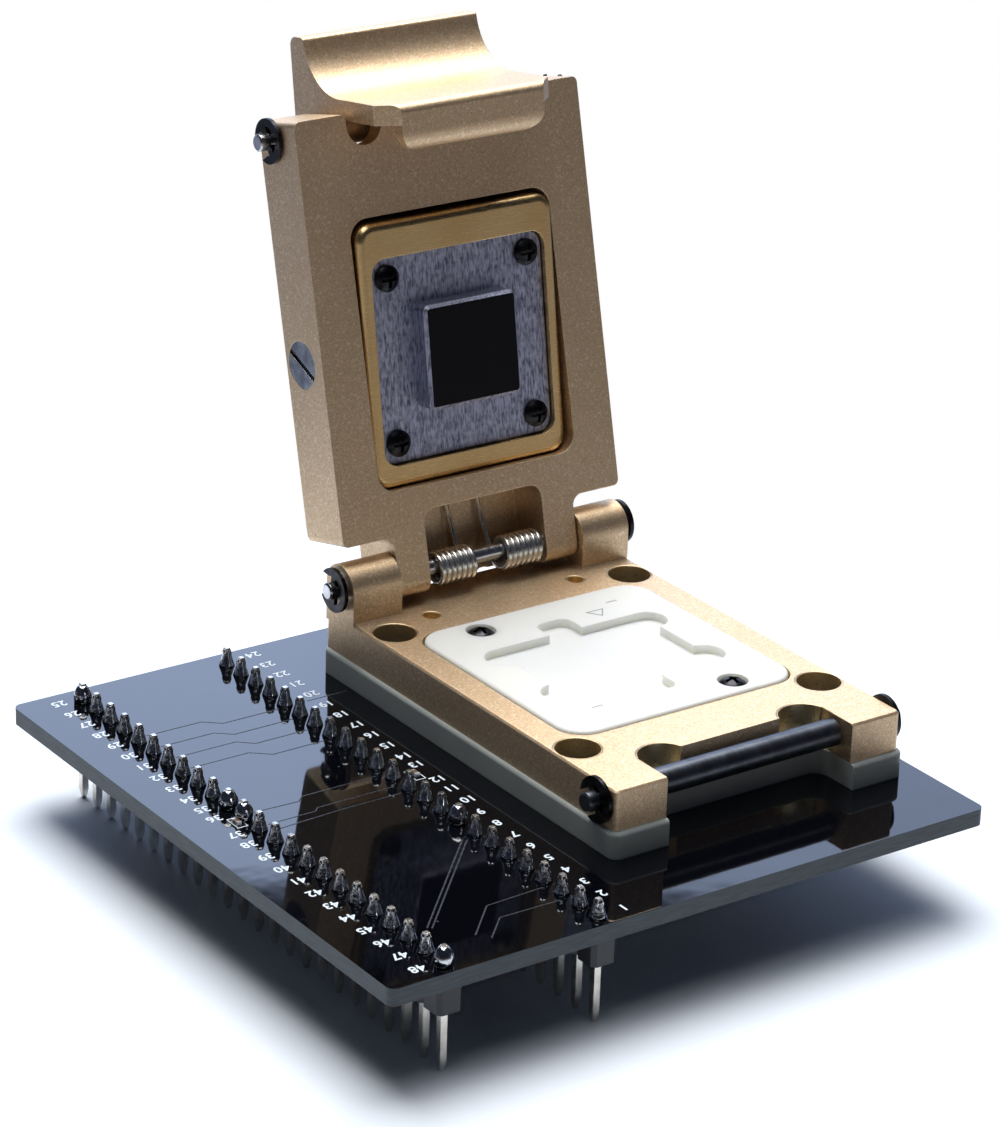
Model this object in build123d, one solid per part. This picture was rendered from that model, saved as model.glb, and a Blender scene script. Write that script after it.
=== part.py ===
from build123d import *
import math
import os

# Open clamshell test socket on a two row adapter board, in millimetres.
# The origin is midway between the two pin rows, on the plane where the pin
# strips seat. X runs from the pins towards the socket, Y to the hinge, Z up.

# Pin rows
pin_pitch = 2.54
pins_per_row = 24
row_spacing = 15.24
pin_side = 0.64
pin_tip_side = 0.34
pin_taper = 0.9
pin_below = 5.8
pin_above = 1.8
pin_point = 0.4
pin_point_side = 0.44
strip_height = 2.25
strip_width = 2.5
strip_notch = 0.4
pin_fit = 0.02

# Board
board_thickness = 1.6
board_width = 61.9
board_length = 62.2
board_left_margin = 5.9
board_front_margin = 1.35
board_corner = 0.8
solder_radius = 0.7
solder_top_radius = 0.47
solder_height = 1.4
capacitor_length = 1.0
capacitor_width = 0.5
capacitor_height = 0.35
capacitor_end = 0.25
capacitor_places = [(-8.62, 0.85), (9.6, 0.76)]

# Place of the socket on the board
socket_x = 30.48
socket_y = 1.39

# Insulating plate between the board and the metal base
plate_thickness = 2.45
plate_side_margin = 0.35
plate_front_margin = 0.5
plate_back_margin = 0.1
plate_corner = 0.9
plate_edge = 0.35
plate_notch_depth = 4.2
plate_notch_corner = 1.5

# Metal base
base_rim = 3.025
base_front_reach = 10.26
base_back_reach = 9.8
base_thickness = 3.75
base_corner = 0.5
base_edge = 0.2
front_ear_width = 5.45
notch_depth = 4.36
relief_radius = 2.4
relief_lead = 0.7
screw_side_reach = 0.75
screw_end_reach = 1.7
screw_row_shift = 0.1
counterbore_radius = 2.03
counterbore_depth = 2.8
screw_hole_radius = 1.1
tapped_radius = 0.8
tapped_depth = 2.6
tapped_spacing = 16.3
tapped_reach = 3.4
hinge_height = 2.8
hinge_ear_radius = 2.3
hinge_ear_root = 1.0
hinge_ear_width = 5.3

# Floating guide and the contact block under it
guide_size = 25.0
guide_corner = 2.8
guide_fit = 0.15
guide_proud = 0.25
guide_thickness = 2.65
guide_travel = 0.4
guide_stop_gap = 0.15
guide_under_depth = 1.0
chip_length = 16.0
chip_width = 12.0
chip_fit = 0.1
chip_depth = 0.8
chip_relief = 1.75
finger_notch_width = 3.6
finger_notch_length = 17.4
finger_notch_corner = 1.0
guide_screw_x = 6.5
guide_screw_reach = 2.0
block_size = 16.6
block_fit = 0.2
block_gap = 0.1
spring_seat_reach = 2.3
spring_seat_y = 7.0
guide_spring_radius = 0.6
guide_spring_wire = 0.25
guide_spring_turns = 5
guide_spring_depth = 1.9

# Screws, pins and retaining clips
head_radius = 1.9
head_height = 1.0
socket_depth = 0.6
socket_across = 1.5
shank_radius = 1.0
screw_tail = 0.6
nut_across = 4.0
nut_height = 1.6
small_head_radius = 1.25
small_head_height = 0.8
small_head_rim = 0.3
small_head_proud = 0.2
small_shank_radius = 0.75
small_shank_end = 0.2
cross_length = 1.6
cross_width = 0.36
cross_depth = 0.45
pin_radius = 0.8
bore_fit = 0.02
turn_fit = 0.05
side_fit = 0.2
clip_radius = 2.1
clip_thickness = 0.4
clip_ring = 0.75
clip_mouth = 2.3
clip_groove = 0.2
clip_gap = 0.03
hinge_clip_gap = 0.45
hinge_clip_angle = 185
roller_clip_angle = 150
latch_clip_angles = {-1: 249, 1: 0}
pin_end = 1.5
pin_edge = 0.15

# Latch roller across the base's front notch
roller_y = 2.41
roller_height = 2.15
roller_pin_radius = 0.9
roller_radius = 1.25

# Lid, drawn closed around the hinge axis
open_angle = 103.7
lid_gap = 1.38
lid_thickness = 6.45
lid_rear = 2.1
lid_corner = 0.6
lid_edge = 0.3
shoulder = 3.85
shoulder_fillet = 1.1
arm_inner = 6.6
arm_fit = 0.15
arm_round = 1.4
window_front = 5.7
window_corner = 1.3
window_depth = 4.6
groove_width = 0.9
groove_depth = 0.45
pocket_side_wall = 4.525
pocket_front_wall = 9.56
pocket_back = 8.0
pocket_corner = 1.9
pocket_depth = 5.3
lip_depth = 1.05
lip_height = 1.8
lid_notch_depth = 3.6
lid_relief_radius = 1.86
lid_relief_lead = 0.1
lip_corner = 0.5

# Tilting pressure plate and the pusher screwed into it
tilt_angle = 4.4
tilt_range = 8.8
pivot_depth = 3.5
pivot_radius = 0.8
pivot_reach = 1.6
pivot_head_radius = 2.2
pivot_head_depth = 1.1
pivot_thread_radius = 1.1
slot_width = 0.5
slot_depth = 0.6
slot_angle = 35
plate_gap = 0.25
press_thickness = 3.0
press_corner = 1.65
press_edge = 0.7
lug_width = 2.0
lug_length = 6.0
lug_height = 1.6
pusher_side_rim = 1.45
pusher_end_rim = 2.85
pusher_opening_corner = 1.5
pusher_fit = 0.1
pusher_recess = 0.6
pusher_thickness = 1.6
boss_width = 10.2
boss_length = 9.8
boss_height = 2.1
boss_corner = 0.6
boss_edge = 0.35
pusher_screw_inset = 1.85

# Latch lever, drawn in its hooked position around the latch pin
latch_back = 1.7
latch_depth = 4.22
latch_rest = 5.0
latch_release = 25.0
lever_side_gap = 0.525
hub_radius = 1.45
tab_back = 0.8
tab_top = 5.35
tab_reach = 8.2
tab_level = 3.1
tab_round = 0.9
tab_lip_round = 0.4
finger_arc = 5.4
leg_inner = 1.3
leg_thickness = 1.85
leg_chamfer = 1.85
leg_round = 0.8
hook_gap = 0.07
hook_thickness = 1.3
hook_reach = 2.5
hook_tip = 0.15
hook_curve = 1.8
spring_slot = 4.8
spring_slot_depth = 0.85
spring_slot_top = 2.0

# Springs on the hinge pin and on the latch pin
coil_radius = 1.4
coil_wire = 0.54
coil_turns = 7
coil_pitch = 0.58
coil_drop = 0.3
coil_left = -3.3
coil_right = 4.2
coil_leg_tilt = 17
coil_foot_angle = 90
coil_gap = 0.03
latch_coil_radius = 1.2
latch_coil_wire = 0.35
latch_coil_turns = 4
latch_coil_pitch = 0.5
latch_coil_leg = 2.1

# Levels and places that follow from the sizes above
board_top = strip_height + board_thickness
plate_top = board_top + plate_thickness
base_top = plate_top + base_thickness
base_width = guide_size + 2 * base_rim
base_front = guide_size / 2 + base_front_reach
base_back = guide_size / 2 + base_back_reach
screw_spacing_x = guide_size + 2 * screw_side_reach
screw_spacing_y = guide_size + 2 * screw_end_reach
tapped_y = guide_size / 2 + tapped_reach
guide_screw_y = block_size / 2 + guide_screw_reach
spring_seat_x = block_size / 2 + spring_seat_reach
front_y = socket_y - base_front
back_y = socket_y + base_back
half_base = base_width / 2
front_ear_inner = half_base - front_ear_width
hinge_y = back_y - hinge_ear_radius
hinge_z = base_top + hinge_height
hinge_ear_inner = half_base - hinge_ear_width
roll_y = front_y + roller_y
roll_z = plate_top + roller_height
guide_top = base_top + guide_proud
guide_bottom = guide_top - guide_thickness
pocket_floor = guide_bottom - guide_travel - guide_stop_gap
under_ceiling = guide_bottom + guide_under_depth
block_top = under_ceiling - guide_travel - block_gap
guide_floor = guide_top - chip_depth
guide_screw_seat = guide_top + small_head_proud - small_head_height
lid_under = lid_gap - hinge_height
lid_top = lid_under + lid_thickness
lid_front = front_y - hinge_y
chip_back = socket_y - hinge_y
pocket_width = base_width - 2 * pocket_side_wall
pocket_front = -lid_front - pocket_front_wall
pusher_opening = pocket_width - 2 * pusher_side_rim
pusher_opening_length = guide_size - 2 * pusher_end_rim
pusher_screw_spacing = pusher_opening - 2 * pusher_screw_inset
lever_half_width = front_ear_inner - lever_side_gap
pivot_z = lid_under + pivot_depth
pivot_y = -(pocket_front + pocket_back) / 2
latch_y = lid_front + latch_back
latch_z = lid_under + latch_depth
coil_leg_angle = 180 - open_angle - coil_leg_tilt
coil_span = (coil_turns + (coil_leg_angle - coil_foot_angle) / 360) * coil_pitch
leg_outer = leg_inner + leg_thickness
roller_distance = math.hypot(roll_y - hinge_y - latch_y, roll_z - hinge_z - latch_z)
hook_face = roller_distance + roller_radius + hook_gap


def block(x0, x1, y0, y1, z0, z1):
    return Pos((x0 + x1) / 2, (y0 + y1) / 2, (z0 + z1) / 2) * Box(x1 - x0, y1 - y0, z1 - z0)


def slab(width, length, radius, x, y, z0, z1):
    outline = Pos(x, y, z0) * RectangleRounded(width, length, radius)
    return extrude(outline, z1 - z0)


def rod(radius, x, y, z0, z1):
    return Pos(x, y, z0) * extrude(Circle(radius), z1 - z0)


def cross_rod(radius, x0, x1, y, z):
    return Plane(origin=(x0, y, z), z_dir=(1, 0, 0)) * extrude(Circle(radius), x1 - x0)


def save(name, solids, place=None):
    solids = [s for item in solids for s in item.solids()]
    if place is not None:
        solids = [place * s for s in solids]
    export_step(solids[0] if len(solids) == 1 else Compound(children=solids), f"parts/{name}.step")


def row_y(i):
    return (i - (pins_per_row - 1) / 2) * pin_pitch


def header_pin(x, y):
    top = board_top + pin_above
    body = block(x - pin_side / 2, x + pin_side / 2, y - pin_side / 2, y + pin_side / 2,
                 pin_taper - pin_below, top - pin_point)
    wide = Pos(x, y, pin_taper - pin_below) * Rectangle(pin_side, pin_side)
    tip = Pos(x, y, -pin_below) * Rectangle(pin_tip_side, pin_tip_side)
    shoulders = Pos(x, y, top - pin_point) * Rectangle(pin_side, pin_side)
    point = Pos(x, y, top) * Rectangle(pin_point_side, pin_point_side)
    return body + loft([tip, wide]) + loft([shoulders, point])


def header_strip(x):
    # Break-off strip: one eight-sided cell for each pin
    half, cell = strip_width / 2, pin_pitch / 2
    right = []
    for i in range(pins_per_row):
        y = row_y(i)
        right += [(x + half - strip_notch, y - cell), (x + half, y - cell + strip_notch),
                  (x + half, y + cell - strip_notch)]
    right.append((x + half - strip_notch, row_y(pins_per_row - 1) + cell))
    left = [(2 * x - px, py) for px, py in reversed(right)]
    strip = extrude(make_face(Polyline(*right, *left, close=True)), strip_height)
    side = pin_side + 2 * pin_fit
    holes = [Pos(x, row_y(i), strip_height / 2) * Box(side, side, 2 * strip_height)
             for i in range(pins_per_row)]
    return strip - holes


def solder_cone(x, y):
    cone = Pos(x, y, board_top + solder_height / 2) * Cone(solder_radius, solder_top_radius, solder_height)
    return cone - Pos(x, y, board_top) * Box(pin_side, pin_side, 4 * solder_height)


def capacitor(x, y):
    z = board_top + capacitor_height / 2
    core = Pos(x, y, z) * Box(capacitor_width, capacitor_length - 2 * capacitor_end, capacitor_height)
    reach = (capacitor_length - capacitor_end) / 2
    end = Box(capacitor_width, capacitor_end, capacitor_height)
    return [core] + [Pos(x, y + side * reach, z) * end for side in (-1, 1)]


def screw_places():
    return [(socket_x + sx * screw_spacing_x / 2, socket_y + screw_row_shift + sy * screw_spacing_y / 2)
            for sx in (-1, 1) for sy in (-1, 1)]


def make_board():
    x = -row_spacing / 2 - board_left_margin + board_width / 2
    y = row_y(0) - board_front_margin + board_length / 2
    board = slab(board_width, board_length, board_corner, x, y, strip_height, board_top)
    side = pin_side + 2 * pin_fit
    holes = [Pos(sx * row_spacing / 2, row_y(i), board_top) * Box(side, side, 3 * board_thickness)
             for sx in (-1, 1) for i in range(pins_per_row)]
    holes += [rod(screw_hole_radius, hx, hy, 0, board_top + 1) for hx, hy in screw_places()]
    return board - holes


def make_plate():
    width = base_width + 2 * plate_side_margin
    y0, y1 = front_y - plate_front_margin, back_y + plate_back_margin
    body = slab(width, y1 - y0, plate_corner, socket_x, (y0 + y1) / 2, board_top, plate_top)
    body = fillet(body.faces().sort_by(Axis.Z)[-1].edges(), plate_edge)
    notch = slab(2 * front_ear_inner, 2 * (plate_notch_depth + plate_front_margin), plate_notch_corner,
                 socket_x, y0, board_top - 1, plate_top + 1)
    hole = block_size + 2 * block_fit
    window = Pos(socket_x, socket_y, board_top) * Box(hole, hole, 3 * plate_thickness)
    holes = [rod(screw_hole_radius, hx, hy, board_top - 1, plate_top + 1) for hx, hy in screw_places()]
    return body - notch - window - holes


def make_base():
    length = base_front + base_back
    body = slab(base_width, length, base_corner, socket_x, (front_y + back_y) / 2, plate_top, base_top)
    body = chamfer(body.faces().sort_by(Axis.Z)[-1].edges(), base_edge)
    ears = []
    for sx in (-1, 1):
        x0, x1 = sorted((socket_x + sx * half_base, socket_x + sx * hinge_ear_inner))
        ears += [block(x0, x1, hinge_y - hinge_ear_radius, back_y, base_top - hinge_ear_root, hinge_z),
                 cross_rod(hinge_ear_radius, x0, x1, hinge_y, hinge_z)]
    body = body + ears
    notch_back = front_y + notch_depth
    cuts = [block(socket_x - front_ear_inner, socket_x + front_ear_inner, front_y - 1, notch_back,
                  plate_top - 1, base_top + 1)]
    relief_x = front_ear_inner - relief_radius
    relief_y = notch_back - relief_lead
    cuts += [rod(relief_radius, socket_x + sx * relief_x, relief_y, plate_top - 1, base_top + 1)
             for sx in (-1, 1)]
    size = guide_size + 2 * guide_fit
    cuts.append(slab(size, size, guide_corner, socket_x, socket_y, pocket_floor, base_top + 1))
    hole = block_size + 2 * block_fit
    cuts.append(Pos(socket_x, socket_y, plate_top) * Box(hole, hole, 3 * base_thickness))
    for hx, hy in screw_places():
        cuts += [rod(screw_hole_radius, hx, hy, plate_top - 1, base_top + 1),
                 rod(counterbore_radius, hx, hy, base_top - counterbore_depth, base_top + 1)]
    cuts += [rod(tapped_radius, socket_x + sx * tapped_spacing / 2, socket_y + tapped_y,
                 base_top - tapped_depth, base_top + 1) for sx in (-1, 1)]
    wide = half_base + 1
    cuts += [cross_rod(pin_radius + bore_fit, socket_x - wide, socket_x + wide, hinge_y, hinge_z),
             cross_rod(roller_pin_radius + bore_fit, socket_x - wide, socket_x + wide, roll_y, roll_z)]
    for x, y in guide_screw_places():
        cuts.append(rod(small_shank_radius, x, y, plate_top - 1, base_top + 1))
    return body - cuts


def guide_screw_places():
    return [(socket_x - guide_screw_x, socket_y + guide_screw_y),
            (socket_x + guide_screw_x, socket_y - guide_screw_y)]


def spring_seats():
    return [(socket_x + sx * spring_seat_x, socket_y + sy * spring_seat_y)
            for sx in (-1, 1) for sy in (-1, 1)]


def make_guide():
    body = slab(guide_size, guide_size, guide_corner, socket_x, socket_y, guide_bottom, guide_top)
    body = fillet(body.faces().sort_by(Axis.Z)[-1].edges(), plate_edge)
    long, wide = chip_length + 2 * chip_fit, chip_width + 2 * chip_fit
    chip = Pos(socket_x, socket_y, guide_top) * Box(long, wide, 2 * chip_depth)
    reliefs = [rod(chip_relief, socket_x + sx * long / 2, socket_y + sy * (wide / 2 - chip_relief),
                   guide_floor, guide_top + 1) for sx in (-1, 1) for sy in (-1, 1)]
    fingers = slab(finger_notch_width, finger_notch_length, finger_notch_corner, socket_x, socket_y,
                   guide_floor, guide_top + 1)
    hole = block_size + 2 * block_fit
    under = block(socket_x - hole / 2, socket_x + hole / 2, socket_y - hole / 2, socket_y + hole / 2,
                  guide_bottom - 1, under_ceiling)
    cuts = [chip, under, fingers] + reliefs
    for x, y in guide_screw_places():
        cuts += [rod(small_shank_radius + guide_fit, x, y, guide_bottom - 1, guide_top + 1),
                 rod(small_head_radius + guide_fit, x, y, guide_screw_seat, guide_top + 1)]
    seat_radius = guide_spring_radius + guide_spring_wire
    cuts += [rod(seat_radius, x, y, guide_bottom - 1, guide_bottom + guide_spring_depth)
             for x, y in spring_seats()]
    return body - cuts


def coil(radius, wire, turns, pitch):
    # Helix about X, centred on the origin
    path = Helix(pitch, turns * pitch, radius)
    section = Plane(origin=path @ 0, z_dir=path % 0) * RegularPolygon(wire / 2, 6)
    body = sweep(section, path=path, is_frenet=True)
    return Rot(0, 90, 0) * Pos(0, 0, -turns * pitch / 2) * body


def guide_spring(x, y):
    rise = guide_bottom + guide_spring_depth - pocket_floor - guide_spring_wire - 2 * coil_gap
    path = Helix(rise / guide_spring_turns, rise, guide_spring_radius)
    section = Plane(origin=path @ 0, z_dir=path % 0) * RegularPolygon(guide_spring_wire / 2, 4)
    spring = sweep(section, path=path, is_frenet=True)
    return Pos(x, y, pocket_floor + guide_spring_wire / 2 + coil_gap) * spring


def cross_head(radius, height, x, y, z, down):
    # Low domed head with a cross recess, its seat at z
    rise = height - small_head_rim
    dome = (radius ** 2 + rise ** 2) / (2 * rise)
    head = extrude(Circle(radius), height) & Pos(0, 0, height - dome) * Sphere(dome)
    top = Pos(0, 0, height)
    slot = Box(cross_length, cross_width, 2 * cross_depth)
    cut = top * (slot + Rot(0, 0, 90) * slot)
    turn = Rot(180, 0, 0) if down else Rot(0, 0, 0)
    return Pos(x, y, z) * turn * (head - cut)


def mounting_screw(x, y):
    seat = base_top - counterbore_depth
    tail = strip_height - nut_height - screw_tail
    head = rod(head_radius, x, y, seat, seat + head_height)
    socket = extrude(RegularPolygon(socket_across / 2, 6, major_radius=False), socket_depth, both=True)
    return head - Pos(x, y, seat + head_height) * socket + rod(shank_radius, x, y, tail, seat)


def mounting_nut(x, y):
    nut = extrude(RegularPolygon(nut_across / 2, 6, major_radius=False), nut_height)
    bore = rod(shank_radius, 0, 0, -nut_height, 2 * nut_height)
    return Pos(x, y, strip_height - nut_height) * (nut - bore)


def guide_screw(x, y):
    head = cross_head(small_head_radius, small_head_height, x, y, guide_screw_seat, False)
    return head + rod(small_shank_radius - bore_fit, x, y, plate_top + bore_fit, guide_screw_seat)


def grooved_pin(radius, y, z, gap):
    # Pin across the socket with a groove for a clip just outside each side face
    end = half_base + pin_end
    pin = cross_rod(radius, -end, end, y, z)
    pin = chamfer(pin.edges().filter_by(GeomType.CIRCLE), pin_edge)
    for sx in (-1, 1):
        x0, x1 = sorted((sx * (half_base + gap), sx * (half_base + gap + clip_thickness)))
        ring = cross_rod(radius + 1, x0, x1, y, z) - cross_rod(radius - clip_groove, x0 - 1, x1 + 1, y, z)
        pin = pin - ring
    return pin


def retaining_clip(side, radius, y, z, gap, turn):
    # Open ring with three inward lobes that grip the groove
    grip = radius - clip_groove + bore_fit
    outline = Circle(clip_radius) - Circle(clip_radius - clip_ring)
    for angle in (0, 180, 270):
        outline += Rot(0, 0, angle) * Pos((clip_radius - clip_ring / 2) / 2, 0) * Rectangle(
            clip_radius - clip_ring / 2, clip_ring)
    mouth = Pos(0, clip_ring / 2 + clip_radius) * Rectangle(clip_mouth, 2 * clip_radius)
    outline = outline - Circle(grip) - mouth
    x0 = side * (half_base + gap + clip_thickness / 2)
    clip = extrude(outline, clip_thickness / 2 - bore_fit / 2, both=True)
    return Plane(origin=(x0, y, z), z_dir=(1, 0, 0)) * Rot(0, 0, turn) * clip


def wound_wire(radius, wire, turns, pitch, first, last, first_run, last_run):
    # Coil about X whose two ends run off straight. Their angles are from straight down, backwards.
    whole = turns + (last - first) / 360
    body = Rot(first, 0, 0) * coil(radius, wire, whole, pitch)
    overlap = wire / 4
    for angle, side, run in ((first, -1, first_run), (last, 1, last_run)):
        a = math.radians(angle)
        way = Vector(0, side * math.cos(a), side * math.sin(a))
        start = Vector(side * whole * pitch / 2, radius * math.sin(a), -radius * math.cos(a)) - way * overlap
        body += Plane(origin=start, z_dir=way) * extrude(RegularPolygon(wire / 2, 6), run + overlap)
    return body


def torsion_spring(x):
    # Coil hung on the pin, with a foot down behind it on the base and a leg in the lid's groove
    tilt = math.radians(coil_leg_tilt)
    foot = hinge_height - coil_drop - coil_gap
    reach = lid_under + window_depth + groove_depth / 4 - coil_wire / 2
    leg = (reach - coil_radius * math.cos(tilt)) / math.sin(tilt)
    spring = wound_wire(coil_radius, coil_wire, coil_turns, coil_pitch,
                        coil_foot_angle, coil_leg_angle, foot, leg)
    if x > 0:
        spring = mirror(spring, about=Plane.YZ)
    return Pos(x, 0, -coil_drop) * spring


def hinged(angle):
    # Moves a piece drawn around the hinge axis to its place, opened by the angle
    return Pos(socket_x, hinge_y, hinge_z) * Rot(-angle, 0, 0)


def make_lid():
    middle = (lid_front - shoulder) / 2
    body = slab(base_width, -lid_front - shoulder, lid_corner, 0, middle, lid_under, lid_top)
    arm_outer = hinge_ear_inner - arm_fit
    body = body + block(-arm_outer, arm_outer, -shoulder - window_corner, lid_rear, lid_under, lid_top)
    inner = [e for e in body.edges().filter_by(Axis.Z)
             if abs(abs(e.center().X) - arm_outer) < 0.01 and abs(e.center().Y + shoulder) < 0.01]
    body = fillet(inner, shoulder_fillet)
    low = [e for e in body.edges().filter_by(Axis.X)
           if abs(e.center().Y - lid_rear) < 0.01 and abs(e.center().Z - lid_under) < 0.01]
    body = fillet(low, arm_round)
    rim = [e for e in body.faces().sort_by(Axis.Z)[-1].edges()]
    body = chamfer(rim, lid_edge)
    window_length = window_front + lid_rear + 2 * window_corner
    window = slab(2 * arm_inner, window_length, window_corner, 0, -window_front + window_length / 2,
                  lid_under - 1, lid_under + window_depth)
    cuts = [window]
    for x in (coil_left, coil_right):
        gx = x + math.copysign(coil_span / 2, -x)
        cuts.append(block(gx - groove_width / 2, gx + groove_width / 2, -window_front, lid_rear + 1,
                          lid_under + window_depth - 1, lid_under + window_depth + groove_depth))
    pocket = slab(pocket_width, pocket_front - pocket_back, pocket_corner, 0, pivot_y,
                  lid_under - 1, lid_under + pocket_depth)
    cuts.append(pocket)
    lip_y = lid_front + lip_depth
    cuts += [block(-front_ear_inner, front_ear_inner, lid_front - 1, lip_y, lid_under - 1, lid_top + 1),
             block(-front_ear_inner, front_ear_inner, lid_front - 1, lid_front + lid_notch_depth,
                   lid_under + lip_height, lid_top + 1)]
    relief_x = front_ear_inner - lid_relief_radius
    relief_y = lip_y + lid_relief_lead
    cuts += [rod(lid_relief_radius, sx * relief_x, relief_y, lid_under - 1, lid_under + lip_height)
             for sx in (-1, 1)]
    wide = half_base + 1
    cuts += [cross_rod(pin_radius + turn_fit, -wide, wide, 0, 0),
             cross_rod(pin_radius + bore_fit, -wide, wide, latch_y, latch_z),
             cross_rod(pivot_thread_radius, -wide, wide, pivot_y, pivot_z)]
    for sx in (-1, 1):
        x0, x1 = sorted((sx * (half_base - pivot_head_depth), sx * wide))
        cuts.append(cross_rod(pivot_head_radius + bore_fit, x0, x1, pivot_y, pivot_z))
    body = body - cuts
    lips = [e for e in body.edges().filter_by(Axis.Z)
            if abs(abs(e.center().X) - front_ear_inner) < 0.01 and abs(e.center().Y - lid_front) < 0.01]
    return fillet(lips, lip_corner)


def pivot_screw(side):
    # Slotted screw through the lid's side, its plain end carrying the plate
    outer = half_base - bore_fit
    seat = half_base - pivot_head_depth + bore_fit
    wall = pocket_width / 2
    tip = wall - plate_gap - pivot_reach
    parts = []
    for radius, a, b in ((pivot_head_radius, seat, outer), (pivot_thread_radius - bore_fit, wall, seat),
                         (pivot_radius, tip, wall)):
        x0, x1 = sorted((side * a, side * b))
        parts.append(cross_rod(radius, x0, x1, pivot_y, pivot_z))
    slot = Pos(side * outer, pivot_y, pivot_z) * Rot(slot_angle, 0, 0) * Box(
        2 * slot_depth, slot_width, 3 * pivot_head_radius)
    return parts[0] + parts[1:] - slot


def make_press_plate():
    width = pocket_width - 2 * plate_gap
    length = pocket_front - pocket_back - 2 * plate_gap
    body = slab(width, length, press_corner, 0, pivot_y, lid_under, lid_under + press_thickness)
    body = fillet(body.faces().sort_by(Axis.Z)[0].edges(), press_edge)
    back = lid_under + press_thickness
    lugs = []
    for side in (-1, 1):
        x0, x1 = sorted((side * width / 2, side * (width / 2 - lug_width)))
        y0, y1 = pivot_y - lug_length / 2, pivot_y + lug_length / 2
        lugs.append(block(x0, x1, y0, y1, back - 1, back + lug_height))
    opening = slab(pusher_opening, pusher_opening_length, pusher_opening_corner, 0, chip_back,
                   lid_under - 1, lid_under + pusher_recess + pusher_thickness)
    bore = cross_rod(pivot_radius + turn_fit, -width, width, pivot_y, pivot_z)
    taps = [rod(small_shank_radius, x, y, lid_under, lid_under + press_thickness + 1)
            for x, y in pusher_screw_places()]
    return body + lugs - opening - bore - taps


def pusher_screw_places():
    half = pusher_screw_spacing / 2
    return [(sx * half, chip_back + sy * half) for sx in (-1, 1) for sy in (-1, 1)]


def make_pusher():
    face = lid_under + pusher_recess
    body = slab(pusher_opening - 2 * pusher_fit, pusher_opening_length - 2 * pusher_fit,
                pusher_opening_corner - pusher_fit, 0, chip_back, face, face + pusher_thickness)
    boss = slab(boss_width, boss_length, boss_corner, 0, chip_back, face - boss_height, face)
    boss = chamfer(boss.faces().sort_by(Axis.Z)[0].edges(), boss_edge)
    holes = [rod(small_shank_radius + pusher_fit, x, y, face - 1, face + pusher_thickness + 1)
             for x, y in pusher_screw_places()]
    return body + boss - holes


def pusher_screw(x, y):
    face = lid_under + pusher_recess
    head = cross_head(small_head_radius, small_head_height, x, y, face, True)
    end = lid_under + press_thickness - small_shank_end
    return head + rod(small_shank_radius - bore_fit, x, y, face, end)


def tilted(place, angle):
    return place * Pos(0, pivot_y, pivot_z) * Rot(angle, 0, 0) * Pos(0, -pivot_y, -pivot_z)


def make_lever():
    # Outline seen from the side, forwards towards the user and up from the pin
    arc_out, arc_up = leg_outer + finger_arc, tab_level - finger_arc
    lip_turn = math.degrees(math.acos((tab_reach - arc_out) / finger_arc))
    lip_up = arc_up + finger_arc * math.sin(math.radians(lip_turn))
    finger = CenterArc((arc_out, arc_up), finger_arc, lip_turn, 180 - lip_turn)
    low, tip_out = -hook_face - hook_thickness, leg_inner - hook_reach
    rise = hook_thickness - hook_tip
    run = math.sqrt(rise * (2 * hook_curve - rise))
    tip_turn = 270 - math.degrees(math.asin(run / hook_curve))
    nose = CenterArc((tip_out + run, low + hook_curve), hook_curve, tip_turn, 270 - tip_turn)
    reach = math.hypot(tab_back, tab_top)
    hub_turn = math.atan2(tab_top, tab_back) + math.acos(hub_radius / reach)
    front = Polyline((leg_outer, arc_up), (leg_outer, low), (tip_out + run, low))
    back = Polyline((tip_out, low + rise), (tip_out, -hook_face), (leg_inner, -hook_face), (leg_inner, 0),
                    (hub_radius * math.cos(hub_turn), hub_radius * math.sin(hub_turn)),
                    (tab_back, tab_top), (tab_reach, tab_top), (tab_reach, lip_up))
    side = Plane(origin=(lever_half_width, 0, 0), x_dir=(0, -1, 0), z_dir=(-1, 0, 0))
    body = side * extrude(make_face([finger, front, nose, back]), 2 * lever_half_width)
    for out, up, radius in ((tab_reach, tab_top, tab_round), (tab_reach, lip_up, tab_lip_round),
                            (leg_outer, low, leg_round)):
        place = Vector(0, -out, up)
        edges = [e for e in body.edges().filter_by(Axis.X) if (e.center() - place).length < 0.01]
        body = fillet(edges, radius)
    body = body + cross_rod(hub_radius, -lever_half_width, lever_half_width, 0, 0)
    inner = lever_half_width - leg_chamfer
    wide = lever_half_width + 1
    hook = block(-wide, wide, -leg_inner, 1 - tip_out, low - 1, -hook_face)
    kept = slab(2 * inner, 2 * (hook_reach + hook_curve), hook_curve,
                0, -leg_inner - hook_curve, low - 1, -hook_face)
    cuts = [cross_rod(pin_radius + turn_fit, -wide, wide, 0, 0),
            block(-spring_slot / 2, spring_slot / 2, -leg_inner - spring_slot_depth, 2 * hub_radius,
                  -2 * hub_radius, spring_slot_top), hook - kept]
    for sx in (-1, 1):
        outer = sx * lever_half_width
        corner = [Vector(x, -leg_outer - 1, z)
                  for x, z in ((outer, low), (sx * inner, low), (outer, low + leg_chamfer))]
        face = Face(Wire.make_polygon(corner, close=True))
        cuts.append(extrude(face, amount=leg_outer + 1 - tip_out + 1, dir=(0, 1, 0)))
    return body - cuts


def latched(place, angle):
    return place * Pos(0, latch_y, latch_z) * Rot(angle, 0, 0)


def latch_spring():
    return wound_wire(latch_coil_radius, latch_coil_wire, latch_coil_turns, latch_coil_pitch,
                      90, 180, latch_coil_leg, latch_coil_leg)


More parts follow.
